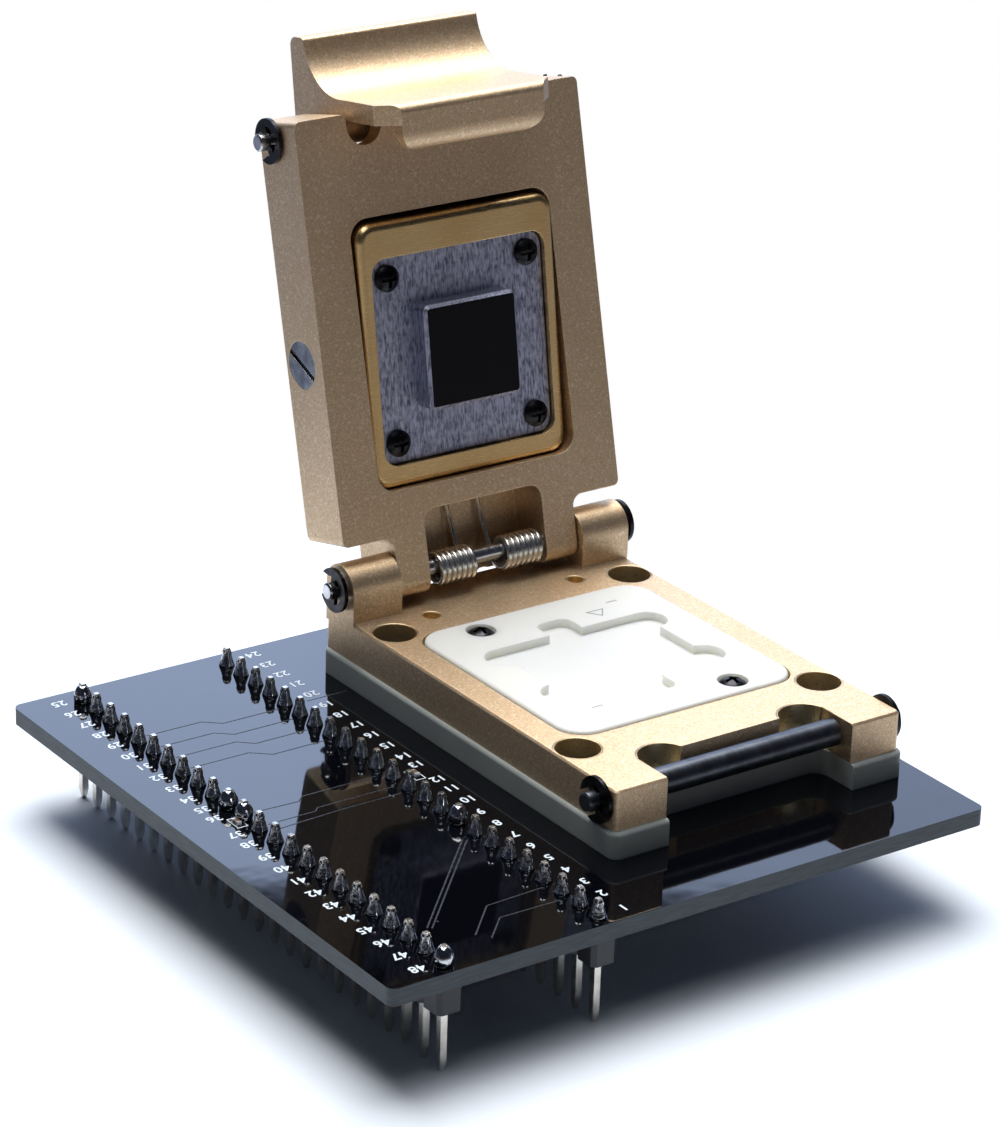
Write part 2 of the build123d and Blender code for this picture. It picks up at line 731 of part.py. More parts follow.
os.makedirs("parts", exist_ok=True)
rows = {"left": -row_spacing / 2, "right": row_spacing / 2}
for side_name, row_x in rows.items():
    save(f"header_strip_{side_name}", [header_strip(row_x)])
    save(f"header_pins_{side_name}", [header_pin(row_x, row_y(i)) for i in range(pins_per_row)])
    save(f"solder_joints_{side_name}", [solder_cone(row_x, row_y(i)) for i in range(pins_per_row)])
save("adapter_board", [make_board()])
save("chip_capacitors", [s for x, y in capacitor_places for s in capacitor(x, y)])
save("insulator_plate", [make_plate()])
save("socket_base", [make_base()])
save("guide_insert", [make_guide()])
save("guide_screws", [guide_screw(x, y) for x, y in guide_screw_places()])
save("guide_springs", [guide_spring(x, y) for x, y in spring_seats()])
save("contact_block", [Pos(socket_x, socket_y, (board_top + block_top) / 2) * Box(
    block_size, block_size, block_top - board_top)])
save("mounting_screws", [mounting_screw(x, y) for x, y in screw_places()])
save("mounting_nuts", [mounting_nut(x, y) for x, y in screw_places()])

hinge_place = hinged(0)
save("hinge_pin", [grooved_pin(pin_radius, 0, 0, hinge_clip_gap)], hinge_place)
hinge_clips = [retaining_clip(side, pin_radius, 0, 0, hinge_clip_gap, hinge_clip_angle) for side in (-1, 1)]
save("hinge_pin_clips", hinge_clips, hinge_place)
save("torsion_spring_left", [torsion_spring(coil_left)], hinge_place)
save("torsion_spring_right", [torsion_spring(coil_right)], hinge_place)
roll_place = Pos(socket_x, 0, 0)
save("roller_pin", [grooved_pin(roller_pin_radius, roll_y, roll_z, clip_gap)], roll_place)
roller_clips = [retaining_clip(side, roller_pin_radius, roll_y, roll_z, clip_gap, roller_clip_angle)
                for side in (-1, 1)]
save("roller_pin_clips", roller_clips, roll_place)
sleeve = cross_rod(roller_radius, side_fit - front_ear_inner, front_ear_inner - side_fit, roll_y, roll_z)
sleeve_bore = cross_rod(roller_pin_radius + turn_fit, -half_base, half_base, roll_y, roll_z)
save("latch_roller", [sleeve - sleeve_bore], roll_place)

lid_place = hinged(open_angle)
save("lid_frame", [make_lid()], lid_place)
save("latch_pin", [grooved_pin(pin_radius, latch_y, latch_z, clip_gap)], lid_place)
latch_clips = [retaining_clip(side, pin_radius, latch_y, latch_z, clip_gap, latch_clip_angles[side])
               for side in (-1, 1)]
save("latch_pin_clips", latch_clips, lid_place)
save("pivot_screws", [pivot_screw(side) for side in (-1, 1)], lid_place)
press_place = tilted(lid_place, tilt_angle)
save("pressure_plate", [make_press_plate()], press_place)
save("pusher_block", [make_pusher()], press_place)
save("pusher_screws", [pusher_screw(x, y) for x, y in pusher_screw_places()], press_place)
save("latch_lever", [make_lever()], latched(lid_place, latch_rest))
save("latch_spring", [latch_spring()], latched(lid_place, 0))
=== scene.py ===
import math

import bmesh
import bpy
from mathutils import Matrix, Vector, noise


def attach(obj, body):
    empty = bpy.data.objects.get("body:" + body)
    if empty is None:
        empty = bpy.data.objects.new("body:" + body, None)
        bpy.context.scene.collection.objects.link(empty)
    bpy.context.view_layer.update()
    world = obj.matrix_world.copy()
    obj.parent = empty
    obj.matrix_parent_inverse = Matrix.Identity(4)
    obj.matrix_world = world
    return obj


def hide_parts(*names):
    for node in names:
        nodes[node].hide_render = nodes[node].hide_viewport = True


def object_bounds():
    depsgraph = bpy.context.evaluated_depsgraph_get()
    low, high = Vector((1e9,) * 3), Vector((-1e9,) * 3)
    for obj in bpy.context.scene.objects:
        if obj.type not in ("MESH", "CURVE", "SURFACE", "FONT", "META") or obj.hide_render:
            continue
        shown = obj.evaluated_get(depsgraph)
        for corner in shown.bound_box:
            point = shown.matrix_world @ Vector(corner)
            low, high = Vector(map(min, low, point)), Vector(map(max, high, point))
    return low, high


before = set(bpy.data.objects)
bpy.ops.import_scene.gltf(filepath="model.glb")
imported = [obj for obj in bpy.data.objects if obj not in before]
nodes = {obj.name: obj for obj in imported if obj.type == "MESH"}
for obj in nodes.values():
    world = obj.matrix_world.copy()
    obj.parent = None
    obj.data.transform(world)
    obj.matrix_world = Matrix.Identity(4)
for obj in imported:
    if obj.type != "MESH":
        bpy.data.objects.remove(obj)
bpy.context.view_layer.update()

# Sizes are in millimetres, turned into metres by mm, and angles in degrees
mm = 0.001

# Camera, solved from the photograph's pin rows
camera_place = (-169.12, -261.73, 158.15)
camera_turn = -35.494
camera_down = 22.872
camera_roll = 1.772
camera_lens = 128.43
sensor_width = 36.0

# Board and pins, and the two chip capacitors: their middle along the board and half their ceramic body
pin_pitch = 2.54
pins_per_row = 24
row_x = 7.62
board_top = 3.85
capacitor_y = 0.805
capacitor_core = 0.27

# Ink on the board: the numbers' places along the rows, and those that stand out of step beside the capacitors
ink_lift = 0.012
ink_thickness = 0.012
digit_height = 1.0
digit_stroke = 0.03
capital_share = 0.70
digit_spacing = 1.05
left_number_x = -9.78
right_number_x = 10.9
left_number_shift = 0.6
right_number_shift = 0.8
one_digit_shift = -0.45
shifted_numbers = {35: 4.64, 36: 2.62, 37: -0.90, 38: -3.03, 14: 4.55, 13: 2.57, 12: -0.88, 1: -28.85}
outline_width = 0.09
capacitor_outlines = [(-9.0, -7.95, -0.05, 1.9), (9.1, 10.15, -0.25, 1.77)]

# Solder joints: a slim cone, or a fat drop at the pins in fat_joints; each is sized at random between two shares
solder_radius = 0.80
solder_neck = 0.34
solder_height = 1.70
solder_tip = 0.03
slim_curve = 1.25
fat_belly = 0.12
fat_shoulder = 0.50
solder_steps = 7
solder_sides = 16
solder_wobble = 0.06
wobble_detail = 1.7
joint_size = (0.94, 1.0)
joint_stretch = (0.92, 1.0)
joint_seed = 5
fat_joints = (9, 25, 35, 36, 48)

# Copper lines under the mask: those between the rows have one jog, the others cross the front
trace_width = 0.16
trace_height = 0.02
trace_slope = 0.2
trace_routes = [
    [(-6.4, 19.9), (-0.74, 19.86), (0.8, 18.59), (6.67, 18.58)],
    [(-6.4, 17.3), (-0.96, 17.3), (0.46, 16.1), (6.6, 16.1)],
    [(-6.4, 14.7), (-0.23, 14.7), (1.07, 13.5), (6.6, 13.5)],
    [(-6.4, 12.2), (-0.42, 12.2), (1.24, 10.8), (6.6, 10.8)],
    [(-6.4, 1.88), (-5.2, 1.85), (-1.8, 1.67), (-1.1, 2.34), (6.6, 2.36)],
    [(-6.4, -0.7), (-1.6, -0.7), (-1.1, -0.2), (6.6, -0.2)],
    [(-6.4, -1.9), (-5.8, -1.9), (0.06, -1.6), (6.6, -1.6)],
    [(-4.98, -23.66), (6.4, -12.04)],
    [(-5.3, -23.4), (6.1, -11.78)],
    [(-2.62, -26.45), (1.05, -22.74), (6.8, -22.5)],
    [(-1.77, -27.53), (0.8, -25.0), (6.8, -25.1)],
    [(9.77, 18.7), (14.0, 18.7)],
]

# Socket: its middle, the base's top face and its hinge
socket_x = 30.48
socket_y = 1.39
base_top = 10.05
hinge_y = 21.39
hinge_z = 12.85
open_angle = 103.7

# Bores in the base: half their spacing across, their middle and half their spacing along, their radius
screw_bores = (13.25, 1.49, 14.2, 2.06)
notch_reliefs = (7.675, -17.71, 0.0, 2.43)
tapped_bores = (8.15, 17.29, 0.0, 0.83)

# Rim round their mouths, rounded by bump and painted bright as a painted highlight, and how near to the top face counts
# as on it
rim_width = 0.16
rim_depth = 0.12
top_skin = 0.02

# Pressure plate's pivot and the face of the pusher's boss, from the hinge with the lid shut
pivot_y = -20.6
pivot_z = 2.08
tilt_angle = 4.4
boss_y = -20.0
boss_face = -2.92
boss_skin = (0.06, 0.04)

# Marks on the insert, from the socket's middle
guide_top = 10.30
triangle_corners = ((4.0, 8.6), (6.0, 8.6), (5.0, 7.2))
triangle_line = 0.22
dash_places = ((7.6, 9.5), (-7.1, -8.5))
half_dash = (0.6, 0.06)

# Springs on the hinge pin; angles are from straight down, backwards
coil_radius = 1.4
coil_wire = 0.54
coil_turns = 7
coil_pitch = 0.58
coil_drop = 0.3
coil_centres = {"torsion_spring_left": -3.3, "torsion_spring_right": 4.2}
coil_foot_angle = 90
coil_leg_angle = 59.3
coil_foot = 2.47
coil_leg = 5.76
coil_steps = 24

# Spring on the latch pin, its place from the hinge with the lid shut
latch_pin_y = -41.06
latch_pin_z = 2.80
latch_coil_radius = 1.2
latch_coil_wire = 0.35
latch_coil_turns = 4
latch_coil_pitch = 0.5
latch_coil_angles = (90, 180)
latch_coil_run = 2.1

# Floor and lamps, in metres and watts
floor_radius = 0.085
floor_sides = 72
lamp_target = (0.015, 0.0, 0.0)
lamps = {
    "overhead_box": {"place": (0.10, 0.18, 0.54), "size": (0.44, 0.40), "power": 4.8, "colour": (1.0, 0.985, 0.965)},
    "front_box": {"place": (-0.07, -0.10, 0.60), "size": (0.28, 0.24), "power": 0.6, "colour": (0.94, 0.97, 1.0)},
}

# The room around: heights are sines of the angle above the horizon, and facing is the cosine of the
# angle from the camera's own direction
backdrop_colour = (1.9, 2.36, 3.4)
backdrop_facing = (0.70, 0.86)
backdrop_top = 0.461
backdrop_blur = 0.003
backdrop_fade = (0.20, 0.37)
backdrop_foot = 0.35
backdrop_sides = (-0.06, 0.11)
backdrop_right = 0.68
window_colour = (0.62, 0.70, 0.84)
window_low = 0.55
window_high = 0.82
window_blur = 0.05
room_colour = (0.022, 0.026, 0.038)
ground_before = (0.46, 0.43, 0.42)
ground_behind = (0.28, 0.32, 0.44)
ground_blur = -0.02
ground_turn = 0.3


def at(x, y, z):
    return Vector((x, y, z)) * mm


def row_place(i):
    return (i - (pins_per_row - 1) / 2) * pin_pitch


def lid_place():
    """Where the open lid's own axes stand, in millimetres: at the hinge, as they lie when the lid is shut."""
    return Matrix.Translation((socket_x, hinge_y, hinge_z)) @ Matrix.Rotation(math.radians(-open_angle), 4, "X")


class Graph:
    """Puts nodes into a tree and joins them by socket. Texture scales are in cells per metre."""

    def __init__(self, tree):
        self.tree = tree

    def put(self, kind, sockets=None, **settings):
        node = self.tree.nodes.new("ShaderNode" + kind)
        for name, value in settings.items():
            setattr(node, name, value)
        for name, value in (sockets or {}).items():
            if isinstance(value, bpy.types.NodeSocket):
                self.tree.links.new(value, node.inputs[name])
            else:
                node.inputs[name].default_value = value
        return node

    def math(self, operation, *values):
        return self.put("Math", dict(enumerate(values)), operation=operation).outputs[0]

    def spread(self, value, low, high, to_low=0.0, to_high=1.0):
        return self.put("MapRange", {"Value": value, "From Min": low, "From Max": high,
                                     "To Min": to_low, "To Max": to_high}).outputs["Result"]

    def blend(self, factor, first, second):
        node = self.put("Mix", {0: factor, 6: first, 7: second}, data_type="RGBA")
        return node.outputs[2]

    def place(self):
        return self.put("TexCoord").outputs["Object"]

    def cloud(self, scale, detail=3.0, vector=None):
        sockets = {"Scale": scale, "Detail": detail}
        sockets["Vector"] = vector if vector is not None else self.place()
        return self.put("TexNoise", sockets).outputs["Fac"]

    def stretched(self, along, across, axis):
        scale = [across, across, across]
        scale["XYZ".index(axis)] = along
        mapped = self.put("Mapping", {"Vector": self.place(), "Scale": scale}).outputs["Vector"]
        return self.cloud(1.0, 4.0, mapped)


def shader_group(name, inputs, outputs, fill):
    group = bpy.data.node_groups.new(name, "ShaderNodeTree")
    for label, value in inputs.items():
        group.interface.new_socket(name=label, in_out="INPUT", socket_type="NodeSocketFloat").default_value = value
    for label, kind in outputs.items():
        group.interface.new_socket(name=label, in_out="OUTPUT", socket_type=kind)
    graph = Graph(group)
    given = group.nodes.new("NodeGroupInput").outputs
    results = fill(graph, given)
    end = group.nodes.new("NodeGroupOutput")
    for label, socket in results.items():
        group.links.new(socket, end.inputs[label])
    return group


def fill_edges(graph, given):
    # Where two faces meet: a soft normal, and a mask that is 1 on the corner, painted as rubbed wear on most finishes
    # and as a painted highlight on the grey slab
    soft = graph.put("Bevel", {"Radius": given["Radius"]}, samples=6).outputs["Normal"]
    flat = graph.put("NewGeometry").outputs["Normal"]
    facing = graph.put("VectorMath", {0: soft, 1: flat}, operation="DOT_PRODUCT").outputs["Value"]
    turned = graph.spread(facing, 0.985, 0.80)
    patchy = graph.spread(graph.cloud(given["Patch Scale"]), 0.35, 0.65, 0.35, 1.0)
    return {"Mask": graph.math("MULTIPLY", turned, patchy), "Normal": soft}


def fill_blast(graph, given):
    # Fine pits left by blasting, with painted glints on a few grains
    place = graph.place()
    pits = graph.put("TexNoise", {"Vector": place, "Scale": given["Scale"], "Detail": 2.0}).outputs["Fac"]
    cells = graph.put("TexVoronoi", {"Vector": place, "Scale": given["Scale"]}).outputs["Color"]
    grain = graph.put("SeparateColor", {"Color": cells}).outputs["Red"]
    sparkle = graph.spread(grain, 0.80, 1.0)
    tone = graph.cloud(given["Tone Scale"], 4.0, place)
    return {"Height": pits, "Sparkle": sparkle, "Tone": tone}


def fill_smudges(graph, given):
    wide = graph.cloud(given["Scale"], 5.0)
    return {"Amount": graph.spread(wide, 0.38, 0.68)}


def fill_dust(graph, given):
    # Sparse small specks
    cells = graph.put("TexVoronoi", {"Vector": graph.place(), "Scale": given["Scale"]})
    near = graph.spread(cells.outputs["Distance"], 0.10, 0.05)
    tint = graph.put("SeparateColor", {"Color": cells.outputs["Color"]}).outputs["Green"]
    chosen = graph.math("GREATER_THAN", tint, given["Rarity"])
    return {"Specks": graph.math("MULTIPLY", near, chosen)}


number_socket, vector_socket = "NodeSocketFloat", "NodeSocketVector"
edges_group = shader_group("Rubbed And Highlit Edges", {"Radius": 0.00012, "Patch Scale": 900.0},
                           {"Mask": number_socket, "Normal": vector_socket}, fill_edges)
blast_group = shader_group("Bead Blast", {"Scale": 9000.0, "Tone Scale": 60.0},
                           {"Height": number_socket, "Sparkle": number_socket, "Tone": number_socket}, fill_blast)
smudge_group = shader_group("Smudges", {"Scale": 120.0}, {"Amount": number_socket}, fill_smudges)
dust_group = shader_group("Dust Specks", {"Scale": 400.0, "Rarity": 0.9}, {"Specks": number_socket}, fill_dust)


class Finish(Graph):
    """A material with one Principled shader and the shared effects."""

    def __init__(self, name, **settings):
        self.material = bpy.data.materials.new(name)
        self.material.use_nodes = True
        super().__init__(self.material.node_tree)
        self.tree.nodes.clear()
        self.shader = self.put("BsdfPrincipled", settings)
        end = self.put("OutputMaterial")
        self.tree.links.new(self.shader.outputs[0], end.inputs["Surface"])

    def effect(self, group, **sockets):
        node = self.tree.nodes.new("ShaderNodeGroup")
        node.node_tree = group
        for name, value in sockets.items():
            node.inputs[name.replace("_", " ")].default_value = value
        return node.outputs

    def feed(self, name, socket):
        self.tree.links.new(socket, self.shader.inputs[name])

    def bump(self, height, depth, strength=1.0, normal=None):
        """Raises the surface by height times depth, which is in millimetres."""
        sockets = {"Height": height, "Distance": depth * mm, "Strength": strength}
        if normal is not None:
            sockets["Normal"] = normal
        return self.put("Bump", sockets).outputs["Normal"]


def rgb(r, g, b):
    return (r, g, b, 1.0)


def bore_gap(look, across, middle, along, radius):
    """Metres past the wall of the nearest of the bores set in fours or pairs about the socket's middle."""
    place = look.put("SeparateXYZ", {"Vector": look.place()}).outputs
    squares = []
    for axis, centre, offset in (("X", socket_x, across), ("Y", middle, along)):
        off = look.math("ABSOLUTE", look.math("SUBTRACT", place[axis], centre * mm))
        off = look.math("SUBTRACT", off, offset * mm)
        squares.append(look.math("MULTIPLY", off, off))
    return look.math("SUBTRACT", look.math("SQRT", look.math("ADD", *squares)), radius * mm)


def milled_hollows(look):
    """Masks for the inside of the base's bores and for the narrow rims round their mouths."""
    past = bore_gap(look, *screw_bores)
    for bores in (notch_reliefs, tapped_bores):
        past = look.math("MINIMUM", past, bore_gap(look, *bores))
    height = look.put("SeparateXYZ", {"Vector": look.place()}).outputs["Z"]
    in_base = look.math("LESS_THAN", height, (base_top + top_skin) * mm)
    under_top = look.math("LESS_THAN", height, (base_top - top_skin) * mm)
    bored = look.math("MULTIPLY", look.math("LESS_THAN", past, 0.0), under_top)
    near = look.spread(past, 0.0, rim_width * mm, 1.0, 0.0)
    return bored, look.math("MULTIPLY", near, look.math("SUBTRACT", in_base, under_top))


def gold_anodised():
    # Bead-blasted and anodised aluminium, smoother and less metallic in the bores, whose walls and mouth rims are
    # painted bright gold: painted light on the shaded bore walls and a painted highlight on the rims
    look = Finish("gold_anodised", **{"Coat Weight": 0.6, "Coat Roughness": 0.5})
    edges = look.effect(edges_group, Radius=0.00013)
    blast = look.effect(blast_group, Scale=5200.0)
    bored, rim = milled_hollows(look)
    tone = look.spread(blast["Tone"], 0.3, 0.7)
    plain = look.blend(tone, rgb(0.74, 0.545, 0.34), rgb(0.85, 0.635, 0.41))
    speckled = look.blend(look.spread(look.cloud(8200.0), 0.36, 0.60), rgb(0.58, 0.42, 0.255), plain)
    # Painted highlight: a few grains are painted pale gold as glints
    sparkling = look.blend(look.math("MULTIPLY", blast["Sparkle"], 0.5), speckled, rgb(0.95, 0.84, 0.66))
    colour = look.blend(look.math("MULTIPLY", edges["Mask"], 0.7), sparkling, rgb(0.96, 0.85, 0.66))
    # Painted light: the bore walls are painted bright gold against their shade, and the mouth rims as a painted
    # highlight
    look.feed("Base Color", look.blend(look.math("MAXIMUM", bored, rim), colour, rgb(1.0, 0.80, 0.48)))
    rough = look.spread(blast["Height"], 0.2, 0.8, 0.42, 0.58)
    look.feed("Roughness", look.math("MULTIPLY", rough, look.spread(bored, 0.0, 1.0, 1.0, 0.6)))
    look.feed("Metallic", look.spread(bored, 0.0, 1.0, 1.0, 0.85))
    rounded = look.bump(look.math("SUBTRACT", 1.0, rim), rim_depth, 1.0, edges["Normal"])
    pitted = look.math("MULTIPLY", blast["Height"], look.math("SUBTRACT", 1.0, bored))
    look.feed("Normal", look.bump(pitted, 0.02, 0.55, rounded))
    return look.material


def machined_gold():
    look = Finish("machined_gold", **{"Metallic": 1.0})
    edges = look.effect(edges_group, Radius=0.00010)
    lines = look.stretched(900.0, 14000.0, "X")
    tone = look.spread(look.cloud(90.0), 0.3, 0.7)
    colour = look.blend(tone, rgb(0.62, 0.42, 0.18), rgb(0.72, 0.52, 0.26))
    look.feed("Base Color", look.blend(look.math("MULTIPLY", edges["Mask"], 0.6), colour, rgb(0.95, 0.80, 0.55)))
    look.feed("Roughness", look.spread(lines, 0.3, 0.7, 0.22, 0.38))
    look.feed("Normal", look.bump(lines, 0.01, 0.3, edges["Normal"]))
    return look.material


def boss_plane():
    """Direction of the boss's face and how far out it lies, in metres, in the pusher's own axes."""
    place = (lid_place() @ Matrix.Translation((0, pivot_y, pivot_z)) @ Matrix.Rotation(math.radians(tilt_angle), 4, "X")
             @ Matrix.Translation((0, -pivot_y, -pivot_z)))
    outward = place.to_3x3() @ Vector((0, 0, -1))
    face = place @ Vector((0, boss_y, boss_face))
    return outward, outward.dot(face) * mm


def blue_grey_metal():
    # Brushed pusher, the face of its boss black
    look = Finish("blue_grey_metal", **{"IOR": 1.22})
    edges = look.effect(edges_group, Radius=0.0001)
    brushed = look.stretched(700.0, 5200.0, "Z")
    mottled = look.cloud(1900.0, 5.0)
    plain = look.blend(look.spread(brushed, 0.36, 0.64), rgb(0.13, 0.14, 0.21), rgb(0.50, 0.52, 0.68))
    colour = look.blend(look.spread(mottled, 0.45, 0.75, 0.0, 0.5), plain, rgb(0.66, 0.68, 0.80))
    rubbed = look.blend(look.math("MULTIPLY", edges["Mask"], 0.5), colour, rgb(0.55, 0.6, 0.7))
    outward, level = boss_plane()
    height = look.put("VectorMath", {0: look.place(), 1: outward}, operation="DOT_PRODUCT").outputs["Value"]
    face = look.spread(height, *(level - skin * mm for skin in boss_skin))
    look.feed("Base Color", look.blend(face, rubbed, rgb(0.004, 0.004, 0.006)))
    look.feed("Metallic", look.spread(face, 0.0, 1.0, 0.85, 0.0))
    look.feed("Roughness", look.spread(brushed, 0.25, 0.75, 0.38, 0.58))
    look.feed("Normal", look.bump(brushed, 0.02, 0.5, edges["Normal"]))
    return look.material


def small_chip():
    # Ceramic body between two tinned ends
    look = Finish("small_chip")
    along = look.put("SeparateXYZ", {"Vector": look.place()}).outputs["Y"]
    off = look.math("ABSOLUTE", look.math("SUBTRACT", along, capacitor_y * mm))
    end = look.math("GREATER_THAN", off, capacitor_core * mm)
    grain = look.cloud(4000.0)
    body = look.blend(look.spread(grain, 0.3, 0.7), rgb(0.10, 0.065, 0.04), rgb(0.20, 0.13, 0.08))
    look.feed("Base Color", look.blend(end, body, rgb(0.75, 0.75, 0.78)))
    look.feed("Metallic", look.math("MULTIPLY", end, 0.9))
    look.feed("Roughness", look.spread(grain, 0.3, 0.7, 0.25, 0.42))
    look.feed("Normal", look.bump(grain, 0.01, 0.4))
    return look.material


def steel(name, dark, light, rough, turned="X", scored=0.35):
    look = Finish(name, **{"Metallic": 1.0})
    edges = look.effect(edges_group, Radius=0.00006)
    lines = look.stretched(4000.0, 300.0, turned)
    smudge = look.effect(smudge_group, Scale=700.0)
    look.feed("Base Color", look.blend(smudge["Amount"], rgb(*dark), rgb(*light)))
    look.feed("Roughness", look.spread(lines, 0.25, 0.75, rough * 0.8, rough * 1.25))
    look.feed("Normal", look.bump(lines, 0.008, scored, edges["Normal"]))
    return look.material


def board_mask():
    # Glossy solder mask on the faces, bare laminate on the cut edges
    look = Finish("board_mask", **{"IOR": 1.55})
    normal = look.put("NewGeometry").outputs["Normal"]
    up = look.math("ABSOLUTE", look.put("SeparateXYZ", {"Vector": normal}).outputs["Z"])
    edge = look.spread(up, 0.6, 0.3)
    fibre = look.stretched(5000.0, 500.0, "Z")
    cut = look.blend(look.spread(fibre, 0.3, 0.7), rgb(0.012, 0.022, 0.030), rgb(0.036, 0.056, 0.068))
    specks = look.effect(dust_group, Scale=700.0, Rarity=0.965)["Specks"]
    mask = look.blend(specks, rgb(0.0016, 0.0020, 0.0034), rgb(0.06, 0.066, 0.08))
    look.feed("Base Color", look.blend(edge, mask, cut))
    smudge = look.effect(smudge_group, Scale=60.0)
    shine = look.spread(smudge["Amount"], 0.0, 1.0, 0.025, 0.06)
    look.feed("Roughness", look.spread(edge, 0.0, 1.0, shine, 0.5))
    ripple = look.cloud(220.0, 2.0)
    look.feed("Normal", look.bump(ripple, 0.02, 0.25))
    return look.material


def solder_metal():
    look = Finish("solder_metal", **{"Metallic": 1.0})
    cloudy = look.cloud(1800.0, 4.0)
    look.feed("Base Color", look.blend(look.spread(cloudy, 0.35, 0.65), rgb(0.34, 0.35, 0.37), rgb(0.66, 0.68, 0.72)))
    look.feed("Roughness", look.spread(cloudy, 0.3, 0.7, 0.05, 0.18))
    look.feed("Normal", look.bump(cloudy, 0.09, 0.6))
    return look.material


def moulded(name, dark, light, rough, pore=4000.0, subsurface=0.0):
    look = Finish(name, **{"IOR": 1.5, "Subsurface Weight": subsurface, "Subsurface Scale": 0.002,
                           "Subsurface Radius": (1.0, 0.9, 0.7)})
    edges = look.effect(edges_group, Radius=0.0001)
    grain = look.cloud(pore)
    tone = look.cloud(70.0, 4.0)
    colour = look.blend(look.spread(tone, 0.3, 0.7), rgb(*dark), rgb(*light))
    look.feed("Base Color", look.blend(look.math("MULTIPLY", edges["Mask"], 0.25), colour, rgb(*light)))
    look.feed("Roughness", look.spread(grain, 0.3, 0.7, rough * 0.85, rough * 1.15))
    look.feed("Normal", look.bump(grain, 0.015, 0.35, edges["Normal"]))
    return look.material


def grey_slab():
    # Machined laminate slab, a little see-through, with fine tool lines on its edges
    look = Finish("grey_slab", **{"IOR": 1.5, "Subsurface Weight": 0.15, "Subsurface Scale": 0.001,
                                  "Subsurface Radius": (0.8, 1.0, 0.8)})
    edges = look.effect(edges_group, Radius=0.00015)
    lines = look.stretched(6000.0, 250.0, "Z")
    tone = look.cloud(80.0, 4.0)
    colour = look.blend(look.spread(tone, 0.3, 0.7), rgb(0.38, 0.42, 0.41), rgb(0.48, 0.52, 0.50))
    # Painted highlight: the slab's corners are painted pale along the edge mask
    look.feed("Base Color", look.blend(edges["Mask"], colour, rgb(0.72, 0.76, 0.72)))
    look.feed("Roughness", look.spread(lines, 0.3, 0.7, 0.40, 0.55))
    look.feed("Normal", look.bump(lines, 0.01, 0.3, edges["Normal"]))
    return look.material


def ink(name, colour):
    look = Finish(name, **{"IOR": 1.45})
    worn = look.cloud(6000.0)
    faded = tuple(c * 0.85 for c in colour)
    look.feed("Base Color", look.blend(look.spread(worn, 0.35, 0.65), rgb(*faded), rgb(*colour)))
    look.feed("Roughness", look.spread(worn, 0.3, 0.7, 0.4, 0.6))
    look.feed("Normal", look.bump(worn, 0.006, 0.3))
    return look.material


finishes = {
    "gold_anodised": gold_anodised(),
    "machined_gold": machined_gold(),
    "blue_grey_metal": blue_grey_metal(),
    "bright_steel": steel("bright_steel", (0.45, 0.45, 0.47), (0.66, 0.66, 0.68), 0.24),
    "roller_steel": steel("roller_steel", (0.10, 0.11, 0.135), (0.14, 0.155, 0.18), 0.33, scored=0.06),
    "dark_steel": steel("dark_steel", (0.24, 0.25, 0.26), (0.50, 0.51, 0.52), 0.26),
    "black_steel": steel("black_steel", (0.012, 0.012, 0.014), (0.045, 0.045, 0.05), 0.30, turned="Z"),
    "spring_steel": steel("spring_steel", (0.74, 0.73, 0.70), (0.92, 0.90, 0.86), 0.27, scored=0.1),
    "pin_plate": steel("pin_plate", (0.62, 0.58, 0.52), (0.86, 0.83, 0.77), 0.22, turned="Z"),
    "solder": solder_metal(),
    "board": board_mask(),
    "black_plastic": moulded("black_plastic", (0.012, 0.013, 0.017), (0.03, 0.032, 0.04), 0.42),
    "cream_plastic": moulded("cream_plastic", (0.84, 0.85, 0.80), (0.88, 0.89, 0.86), 0.5, pore=5000.0,
                             subsurface=0.6),
    "grey_slab": grey_slab(),
    "capacitor": small_chip(),
    "covered_copper": moulded("covered_copper", (0.040, 0.043, 0.052), (0.065, 0.070, 0.082), 0.28),
    "white_ink": ink("white_ink", (0.74, 0.83, 0.92)),
    "faint_ink": ink("faint_ink", (0.42, 0.42, 0.44)),
}

node_finish = {
    "adapter_board": "board", "chip_capacitors": "capacitor",
    "header_strip_left": "black_plastic", "header_strip_right": "black_plastic",
    "header_pins_left": "pin_plate", "header_pins_right": "pin_plate",
    "insulator_plate": "grey_slab", "contact_block": "black_plastic",
    "socket_base": "gold_anodised", "guide_insert": "cream_plastic",
    "guide_screws": "black_steel", "guide_springs": "spring_steel",
    "mounting_screws": "black_steel", "mounting_nuts": "bright_steel",
    "hinge_pin": "bright_steel", "hinge_pin_clips": "black_steel",
    "roller_pin": "roller_steel", "roller_pin_clips": "black_steel", "latch_roller": "roller_steel",
    "torsion_spring_left": "spring_steel", "torsion_spring_right": "spring_steel",
    "lid_frame": "gold_anodised", "latch_pin": "bright_steel", "latch_pin_clips": "black_steel",
    "latch_spring": "spring_steel", "latch_lever": "gold_anodised", "pivot_screws": "dark_steel",
    "pressure_plate": "machined_gold", "pusher_block": "blue_grey_metal", "pusher_screws": "black_steel",
    "solder_joints_left": "solder", "solder_joints_right": "solder",
}
for node_name, finish_name in node_finish.items():
    slots = nodes[node_name].data.materials
    slots.clear()
    slots.append(finishes[finish_name])


def stand(name, data):
    """A new object in the scene."""
    thing = bpy.data.objects.new(name, data)
    bpy.context.collection.objects.link(thing)
    return thing


def new_piece(name, mesh, finish, body):
    mesh.materials.append(finishes[finish])
    piece = stand(name, mesh)
    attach(piece, body)
    return piece


def finished(name, shape):
    """The plain mesh of a bmesh shape, which is freed."""
    mesh = bpy.data.meshes.new(name)
    shape.to_mesh(mesh)
    shape.free()
    return mesh


